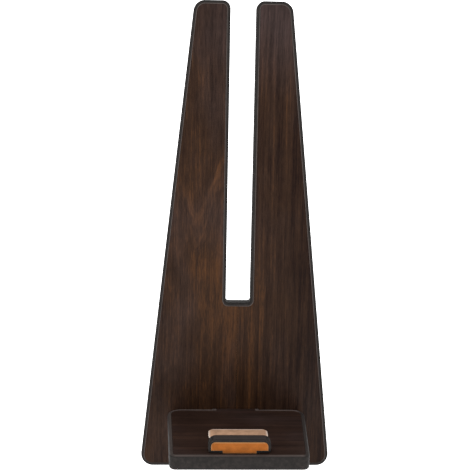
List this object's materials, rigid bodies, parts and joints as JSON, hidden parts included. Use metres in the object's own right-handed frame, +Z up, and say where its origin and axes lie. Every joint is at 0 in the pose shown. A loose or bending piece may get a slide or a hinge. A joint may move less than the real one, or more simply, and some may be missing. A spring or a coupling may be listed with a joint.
{
  "type": "wind instrument stand",
  "caption": "Slot-together wooden stand: a slotted back board leans on a shelf plank with a leather pad and a lift-out stop, to hold a wind instrument upright.",
  "frame": {"origin": "on the ground, at the centre of the stand's footprint box", "axes": "+Z up, +X to the right of someone facing the stand, +Y to the back, where the tail lies"},
  "size_m": [0.2278, 0.3624, 0.5308],
  "materials": {
    "painted_edge": "black satin paint on panel",
    "dark_veneer": "lacquered dark veneer",
    "cognac_leather": "smooth finished leather",
    "natural_leather": "natural undyed leather",
    "foot_rubber": "matte"
  },
  "bodies": {
    "board": {"board_core": "painted_edge", "board_front_veneer_left": "dark_veneer", "board_front_veneer_right": "dark_veneer", "board_rear_veneer_left": "dark_veneer", "board_rear_veneer_right": "dark_veneer", "board_foot_left": "foot_rubber", "board_foot_right": "foot_rubber"},
    "shelf": {"shelf_core": "painted_edge", "shelf_top_veneer": "dark_veneer", "shelf_under_veneer": "dark_veneer", "rest_pad": "natural_leather", "tail_foot": "foot_rubber"},
    "stop": {"stop_core": "painted_edge", "stop_front_leather": "cognac_leather", "stop_rear_leather": "cognac_leather"}
  },
  "joints": [
    {"name": "shelf_slide", "type": "slide", "parent": "board", "child": "shelf", "axis": [0, -0.9659, 0.2588], "range_m": [0, 0.235]},
    {"name": "stop_lift", "type": "slide", "parent": "shelf", "child": "stop", "axis": [0, 0.2588, 0.9659], "range_m": [0, 0.014]}
  ]
}
